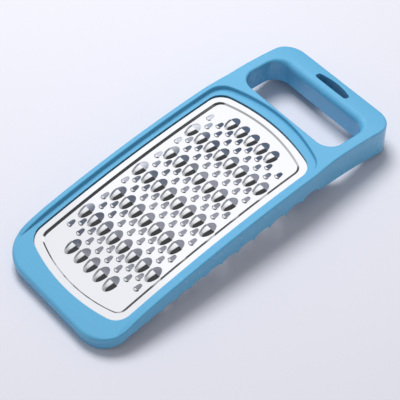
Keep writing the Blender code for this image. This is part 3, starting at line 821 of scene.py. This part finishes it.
def node_group(name, inputs, outputs):
    """An empty shader node group with these named inputs and outputs, as (name, kind, default)."""
    group = bpy.data.node_groups.new(name, "ShaderNodeTree")
    for label, kind, default in inputs:
        socket = group.interface.new_socket(label, in_out="INPUT", socket_type="NodeSocket" + kind)
        socket.default_value = default
    for label, kind in outputs:
        group.interface.new_socket(label, in_out="OUTPUT", socket_type="NodeSocket" + kind)
    return group, group.nodes.new("NodeGroupInput"), group.nodes.new("NodeGroupOutput")


def add_node(tree, kind, values=(), **settings):
    """A node with its settings, and its inputs linked from sockets or set to values."""
    node = tree.nodes.new(kind)
    for name, value in settings.items():
        setattr(node, name, value)
    for key, value in dict(values).items():
        if isinstance(value, bpy.types.NodeSocket):
            tree.links.new(value, node.inputs[key])
        else:
            node.inputs[key].default_value = value
    return node


def combined(tree, operation, first, second):
    """Two values joined by a Math node."""
    return add_node(tree, "ShaderNodeMath", {0: first, 1: second}, operation=operation).outputs[0]


def surface_group():
    """Fine variation of a finished surface: mottled colour, roughness and the height of its grain."""
    inputs = [
        ("Colour", "Color", (1, 1, 1, 1)),
        ("Roughness", "Float", 0.3),
        ("Mottle", "Float", 0.05),
        ("Grain Scale", "Float", 1500.0),
        ("Grain Stretch", "Float", 1.0),
        ("Roughness Spread", "Float", 0.05),
    ]
    group, source, result = node_group(
        "surface_variation", inputs, [("Colour", "Color"), ("Roughness", "Float"), ("Height", "Float")]
    )
    spot = add_node(group, "ShaderNodeTexCoord")
    stretch = add_node(
        group, "ShaderNodeCombineXYZ", {"X": 1.0, "Y": source.outputs["Grain Stretch"], "Z": 1.0}
    )
    along = add_node(
        group,
        "ShaderNodeVectorMath",
        {0: spot.outputs["Object"], 1: stretch.outputs[0]},
        operation="MULTIPLY",
    )
    fine = source.outputs["Grain Scale"]
    grain = add_node(
        group,
        "ShaderNodeTexNoise",
        {"Vector": along.outputs[0], "Scale": fine, "Detail": 2.0, "Roughness": 0.6},
    )
    cloud = add_node(
        group, "ShaderNodeTexNoise", {"Vector": spot.outputs["Object"], "Scale": 34.0, "Detail": 3.0}
    )
    centred = combined(group, "SUBTRACT", cloud.outputs["Fac"], 0.5)
    shade = combined(group, "MULTIPLY", centred, source.outputs["Mottle"])
    bright = combined(group, "ADD", shade, 1.0)
    colour = add_node(
        group, "ShaderNodeVectorMath", {0: source.outputs["Colour"], "Scale": bright}, operation="SCALE"
    )
    spread = combined(group, "MULTIPLY", centred, source.outputs["Roughness Spread"])
    roughness = combined(group, "ADD", spread, source.outputs["Roughness"])
    group.links.new(colour.outputs[0], result.inputs["Colour"])
    group.links.new(roughness, result.inputs["Roughness"])
    group.links.new(grain.outputs["Fac"], result.inputs["Height"])
    return group


def shared_group():
    """The surface group, built when it is first asked for."""
    return bpy.data.node_groups.get("surface_variation") or surface_group()


def finished_material(name, colour, roughness, metallic, mottle, grain, stretch, spread, bump, distance):
    """A Principled material whose colour, roughness and bump come from the shared surface group."""
    made = bpy.data.materials.new(name)
    made.use_nodes = True
    tree = made.node_tree
    shader = tree.nodes["Principled BSDF"]
    shader.inputs["Metallic"].default_value = metallic
    group = tree.nodes.new("ShaderNodeGroup")
    group.node_tree = shared_group()
    values = {
        "Colour": (*colour, 1),
        "Roughness": roughness,
        "Mottle": mottle,
        "Grain Scale": grain,
        "Grain Stretch": stretch,
        "Roughness Spread": spread,
    }
    for key, value in values.items():
        group.inputs[key].default_value = value
    height = group.outputs["Height"]
    relief = add_node(tree, "ShaderNodeBump", {"Height": height, "Strength": bump, "Distance": distance})
    tree.links.new(group.outputs["Colour"], shader.inputs["Base Color"])
    tree.links.new(group.outputs["Roughness"], shader.inputs["Roughness"])
    tree.links.new(relief.outputs[0], shader.inputs["Normal"])
    return made, shader


def plastic(name, colour, roughness):
    """Moulded plastic with a fine even grain."""
    grain = {"mottle": 0.05, "grain": 1800, "stretch": 1.0, "spread": 0.08}
    made, shader = finished_material(
        name, colour, roughness, metallic=0, bump=0.08, distance=0.0002, **grain
    )
    shader.inputs["Specular IOR Level"].default_value = 0.7
    return made


def steel(name, colour, roughness):
    """Rolled steel, its grain drawn out along the plate."""
    grain = {"mottle": 0.03, "grain": 900, "stretch": 0.03, "spread": 0.05}
    made, _ = finished_material(
        name, colour, roughness, metallic=1, bump=0.02, distance=0.0001, **grain
    )
    return made


# Stage


def camera_object():
    """A camera at the photograph's viewing angle."""
    data = bpy.data.cameras.new("camera")
    data.lens = LENS
    data.sensor_width = SENSOR_WIDTH
    data.clip_start, data.clip_end = CLIP
    camera = bpy.data.objects.new("camera", data)
    bpy.context.scene.collection.objects.link(camera)
    right = Vector(CAMERA_RIGHT).normalized()
    up = Vector(CAMERA_UP)
    up = (up - right * up.dot(right)).normalized()
    turned = Matrix((right, up, right.cross(up))).transposed().to_4x4()
    camera.matrix_world = Matrix.Translation(EYE) @ turned
    bpy.context.scene.camera = camera


def floor_object(settings):
    """A square floor of plain pale paper."""
    mesh = bpy.data.meshes.new("floor")
    corners = [(x * FLOOR_HALF, y * FLOOR_HALF, 0) for x, y in ((-1, -1), (1, -1), (1, 1), (-1, 1))]
    mesh.from_pydata(corners, [], [(0, 1, 2, 3)])
    floor = bpy.data.objects.new("floor", mesh)
    bpy.context.scene.collection.objects.link(floor)
    made = bpy.data.materials.new("floor_paper")
    made.use_nodes = True
    shader = made.node_tree.nodes["Principled BSDF"]
    shader.inputs["Base Color"].default_value = (*settings.floor_colour, 1)
    shader.inputs["Roughness"].default_value = 0.7
    shader.inputs["Specular IOR Level"].default_value = 0.1
    mesh.materials.append(made)


def ramp(tree, value, low, high, start, end, curve="SMOOTHSTEP"):
    """A value carried over from one range to another."""
    values = {0: value, 1: low, 2: high, 3: start, 4: end}
    return add_node(tree, "ShaderNodeMapRange", values, interpolation_type=curve).outputs[0]


def dotted(tree, direction, axis):
    """How far a direction points along an axis."""
    node = add_node(tree, "ShaderNodeVectorMath", {0: direction, 1: axis}, operation="DOT_PRODUCT")
    return node.outputs["Value"]


def studio_level(tree, settings):
    """Brightness of what shiny pieces mirror, by direction.

    A bright wall towards +Y, crossed by a grey band that ends towards -Y, plus a softbox. All of it gives
    way to the dark side.
    """
    spot = add_node(tree, "ShaderNodeTexCoord").outputs["Generated"]
    split = add_node(tree, "ShaderNodeSeparateXYZ", {0: spot})
    y, z = split.outputs["Y"], split.outputs["Z"]
    wall = combined(tree, "ADD", ramp(tree, y, *TOWARD_BRIGHT_SIDE), ramp(tree, y, *FAR_SIDE_EXTRA))
    beyond = combined(tree, "MAXIMUM", ramp(tree, z, *ABOVE_BAND), ramp(tree, z, *BELOW_BAND))
    beyond = combined(tree, "MAXIMUM", beyond, ramp(tree, y, *NEAR_END_OF_BAND))
    band = ramp(tree, beyond, *BAND_LEVELS, curve="LINEAR")
    box = ramp(tree, dotted(tree, spot, settings.softbox), *SOFTBOX_EDGE, 0.0, settings.softbox_level)
    bright = combined(tree, "ADD", combined(tree, "MULTIPLY", wall, band), box)
    dark = dotted(tree, spot, settings.dark_side)
    return ramp(tree, dark, *DARK_SIDE_EDGE, bright, settings.dark_level)


def world_light(settings):
    """A pale surround for the camera, a studio for mirrored rays and an even dome for all other light."""
    world = bpy.data.worlds.new("studio")
    bpy.context.scene.world = world
    world.use_nodes = True
    tree = world.node_tree
    tree.nodes.clear()
    output = tree.nodes.new("ShaderNodeOutputWorld")
    path = add_node(tree, "ShaderNodeLightPath")
    dome = (*settings.dome_colour, 1)
    studio = studio_level(tree, settings)
    pale = (*settings.surround_colour, 1)
    even, mirrored, behind = [
        add_node(tree, "ShaderNodeBackground", {"Color": colour, "Strength": level}).outputs[0]
        for colour, level in ((dome, settings.dome_level), (dome, studio), (pale, 1.0))
    ]
    glossy, camera = path.outputs["Is Glossy Ray"], path.outputs["Is Camera Ray"]
    light = add_node(tree, "ShaderNodeMixShader", {0: glossy, 1: even, 2: mirrored})
    seen = add_node(tree, "ShaderNodeMixShader", {0: camera, 1: light.outputs[0], 2: behind})
    tree.links.new(seen.outputs[0], output.inputs["Surface"])


def lamp(name, place, size, power):
    """A round white lamp turned to the origin. Shiny pieces don't mirror it."""
    data = bpy.data.lights.new(name, "AREA")
    data.shape = "DISK"
    data.size = size
    data.energy = power
    obj = bpy.data.objects.new(name, data)
    bpy.context.scene.collection.objects.link(obj)
    obj.location = place
    obj.rotation_mode = "QUATERNION"
    obj.rotation_quaternion = (-Vector(place)).to_track_quat("-Z", "Y")
    obj.visible_glossy = False


# Settings


def length(name, description, default):
    """A size in metres, for the panel."""
    return FloatProperty(name=name, description=description, default=default, unit="LENGTH")


def tint(name, description, default):
    """A colour, for the panel."""
    return FloatVectorProperty(
        name=name, description=description, default=default, subtype="COLOR", size=3
    )


class GraterFrameSettings(bpy.types.PropertyGroup):
    """Roundings, rim and finish of the moulded frame."""

    rim_rounding: length("Rim Rounding", "Radius of the rim's outer edge", 0.0012)
    nose_rounding: length("Nose Rounding", "Radius of the nose's top edge", 0.0033)
    channel_rounding: length(
        "Channel Rounding", "Reach of the curves at the top and foot of the sunk ledge's wall", 0.0009
    )
    lip_rounding: length("Lip Rounding", "Radius of the window's top edge", 0.0003)
    foot_rounding: length("Foot Rounding", "Radius of the walls' lower edges", 0.0004)
    slot_rounding: length("Slot Rounding", "Radius of the hanging slot's edge", 0.0005)
    opening_rounding_far: length(
        "Opening Rounding, Far", "Radius of the finger opening's far edge", 0.0060
    )
    opening_rounding_side: length(
        "Opening Rounding, Side", "Radius of the finger opening's side edges", 0.0020
    )
    opening_rounding_near: length(
        "Opening Rounding, Near", "Radius of the finger opening's near edge", 0.0008
    )
    ridge_end: length("Ridge End", "Width of the rim where it runs out at the nose", 0.0024)
    sinks_from: length("Rim Sinks From", "Place along the arch where the rim starts to sink", -0.0620)
    sunk_at: length(
        "Rim Sunk At", "Place along the arch where the rim is level with the ledge", -0.0905
    )
    colour: tint("Colour", "Colour of the plastic", (0.105, 0.425, 0.69))
    roughness: FloatProperty(name="Roughness", description="Roughness of the plastic", default=0.27)


class GraterPlateSettings(bpy.types.PropertyGroup):
    """Sizes of the teeth and finish of the steel."""

    thickness: length("Thickness", "Thickness of the sheet", 0.0005)
    step_rounding: length("Step Rounding", "Radius of the pressed step's curves", 0.0003)
    large_half_width: length("Large Half Width", "Half the width of a large tooth", 0.0036)
    large_dome: length("Large Dome", "Reach of a large tooth's dome behind its edge", 0.0074)
    large_hole: length("Large Hole", "Reach of a large tooth's hole before its edge", 0.0050)
    large_height: length("Large Height", "Height of a large tooth", 0.0022)
    large_ahead: length("Large Edge Place", "Place of a large tooth's edge ahead of its row", 0.0023)
    large_lean: length("Large Lean", "How far a large tooth's edge leans back at its top", 0.0010)
    small_half_width: length("Small Half Width", "Half the width of a small tooth", 0.0018)
    small_dome: length("Small Dome", "Reach of a small tooth's dome behind its edge", 0.0017)
    small_hole: length("Small Hole", "Reach of a small tooth's hole before its edge", 0.0046)
    small_height: length("Small Height", "Height of a small tooth", 0.0006)
    small_ahead: length("Small Edge Place", "Place of a small tooth's edge ahead of its row", -0.0006)
    small_lean: length("Small Lean", "How far a small tooth's edge leans back at its top", 0.0004)
    colour: tint("Colour", "Colour of the steel", (0.62, 0.62, 0.63))
    roughness: FloatProperty(name="Roughness", description="Roughness of the steel", default=0.12)


class GraterStageSettings(bpy.types.PropertyGroup):
    """Floor, surround, studio and lamp."""

    floor_colour: tint("Floor", "Colour of the floor", (0.80, 0.80, 0.87))
    surround_colour: tint("Surround", "Colour behind the floor", (0.84, 0.84, 0.90))
    dome_colour: tint("Dome", "Colour of the light from all round", (0.96, 0.97, 1.0))
    dome_level: FloatProperty(
        name="Dome Level", description="Brightness of the light from all round", default=0.38
    )
    dark_level: FloatProperty(
        name="Dark Level", description="Brightness of the dark side in reflections", default=0.09
    )
    dark_side: FloatVectorProperty(
        name="Dark Side",
        description="Direction of the dark side in reflections",
        subtype="DIRECTION",
        size=3,
        default=(0.93, -0.24, 0.28),
    )
    softbox: FloatVectorProperty(
        name="Softbox",
        description="Direction of the softbox in reflections",
        subtype="DIRECTION",
        size=3,
        default=(-0.52, 0.30, 0.80),
    )
    softbox_level: FloatProperty(
        name="Softbox Level", description="Brightness of the softbox in reflections", default=0.1
    )
    lamp_power: FloatProperty(
        name="Lamp Power", description="Power of the large lamp", default=13.0, unit="POWER"
    )


# Operators


class GRATER_OT_frame(bpy.types.Operator):
    """Builds the moulded frame in place of its CAD node"""

    bl_idname = "grater.frame"
    bl_label = "Build Frame"

    def execute(self, context):
        settings = context.scene.grater_frame
        finish = plastic("blue_plastic", settings.colour, settings.roughness)
        finish_piece(build_frame(settings), finish, "blue_plastic", "frame", sharp=50)
        finish_piece(build_pegs(), finish, "blue_plastic")
        return {"FINISHED"}


class GRATER_OT_plate(bpy.types.Operator):
    """Builds the stamped steel plate in place of its CAD node"""

    bl_idname = "grater.plate"
    bl_label = "Build Plate"

    def execute(self, context):
        settings = context.scene.grater_plate
        finish = steel("stainless_steel", settings.colour, settings.roughness)
        finish_piece(build_plate(settings), finish, "stainless_steel", "grating_plate", sharp=35)
        return {"FINISHED"}


class GRATER_OT_ring(bpy.types.Operator):
    """Gives the CAD model's retaining ring its finish"""

    bl_idname = "grater.ring"
    bl_label = "Finish Ring"

    def execute(self, context):
        settings = context.scene.grater_frame
        finish = plastic("blue_plastic_ring", settings.colour, settings.roughness + RING_ROUGHER)
        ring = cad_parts["retaining_ring"]
        ring.data.materials.clear()
        ring.data.materials.append(finish)
        return {"FINISHED"}


class GRATER_OT_stage(bpy.types.Operator):
    """Sets up the floor, the surround, the lamp and the camera"""

    bl_idname = "grater.stage"
    bl_label = "Build Stage"

    def execute(self, context):
        settings = context.scene.grater_stage
        context.scene.view_settings.view_transform = "Standard"
        camera_object()
        floor_object(settings)
        world_light(settings)
        lamp("large_lamp", LAMP_PLACE, LAMP_SIZE, settings.lamp_power)
        return {"FINISHED"}


class GRATER_PT_panel(bpy.types.Panel):
    """Lists the grater's pieces and settings"""

    bl_label = "Vegetable Grater"
    bl_idname = "GRATER_PT_panel"
    bl_space_type = "VIEW_3D"
    bl_region_type = "UI"
    bl_category = "Grater"

    def draw(self, context):
        groups = (
            (context.scene.grater_frame, ("grater.frame", "grater.ring")),
            (context.scene.grater_plate, ("grater.plate",)),
            (context.scene.grater_stage, ("grater.stage",)),
        )
        for settings, operators in groups:
            box = self.layout.box()
            for name in settings.__annotations__:
                box.prop(settings, name)
            for operator in operators:
                box.operator(operator)


CLASSES = (
    GraterFrameSettings,
    GraterPlateSettings,
    GraterStageSettings,
    GRATER_OT_frame,
    GRATER_OT_plate,
    GRATER_OT_ring,
    GRATER_OT_stage,
    GRATER_PT_panel,
)


def register():
    for cls in CLASSES:
        bpy.utils.register_class(cls)
    bpy.types.Scene.grater_frame = PointerProperty(type=GraterFrameSettings)
    bpy.types.Scene.grater_plate = PointerProperty(type=GraterPlateSettings)
    bpy.types.Scene.grater_stage = PointerProperty(type=GraterStageSettings)


def unregister():
    del bpy.types.Scene.grater_frame
    del bpy.types.Scene.grater_plate
    del bpy.types.Scene.grater_stage
    for cls in reversed(CLASSES):
        bpy.utils.unregister_class(cls)


def main():
    register()
    bpy.ops.grater.stage()
    bpy.ops.grater.frame()
    bpy.ops.grater.plate()
    bpy.ops.grater.ring()


if __name__ == "__main__":
    main()
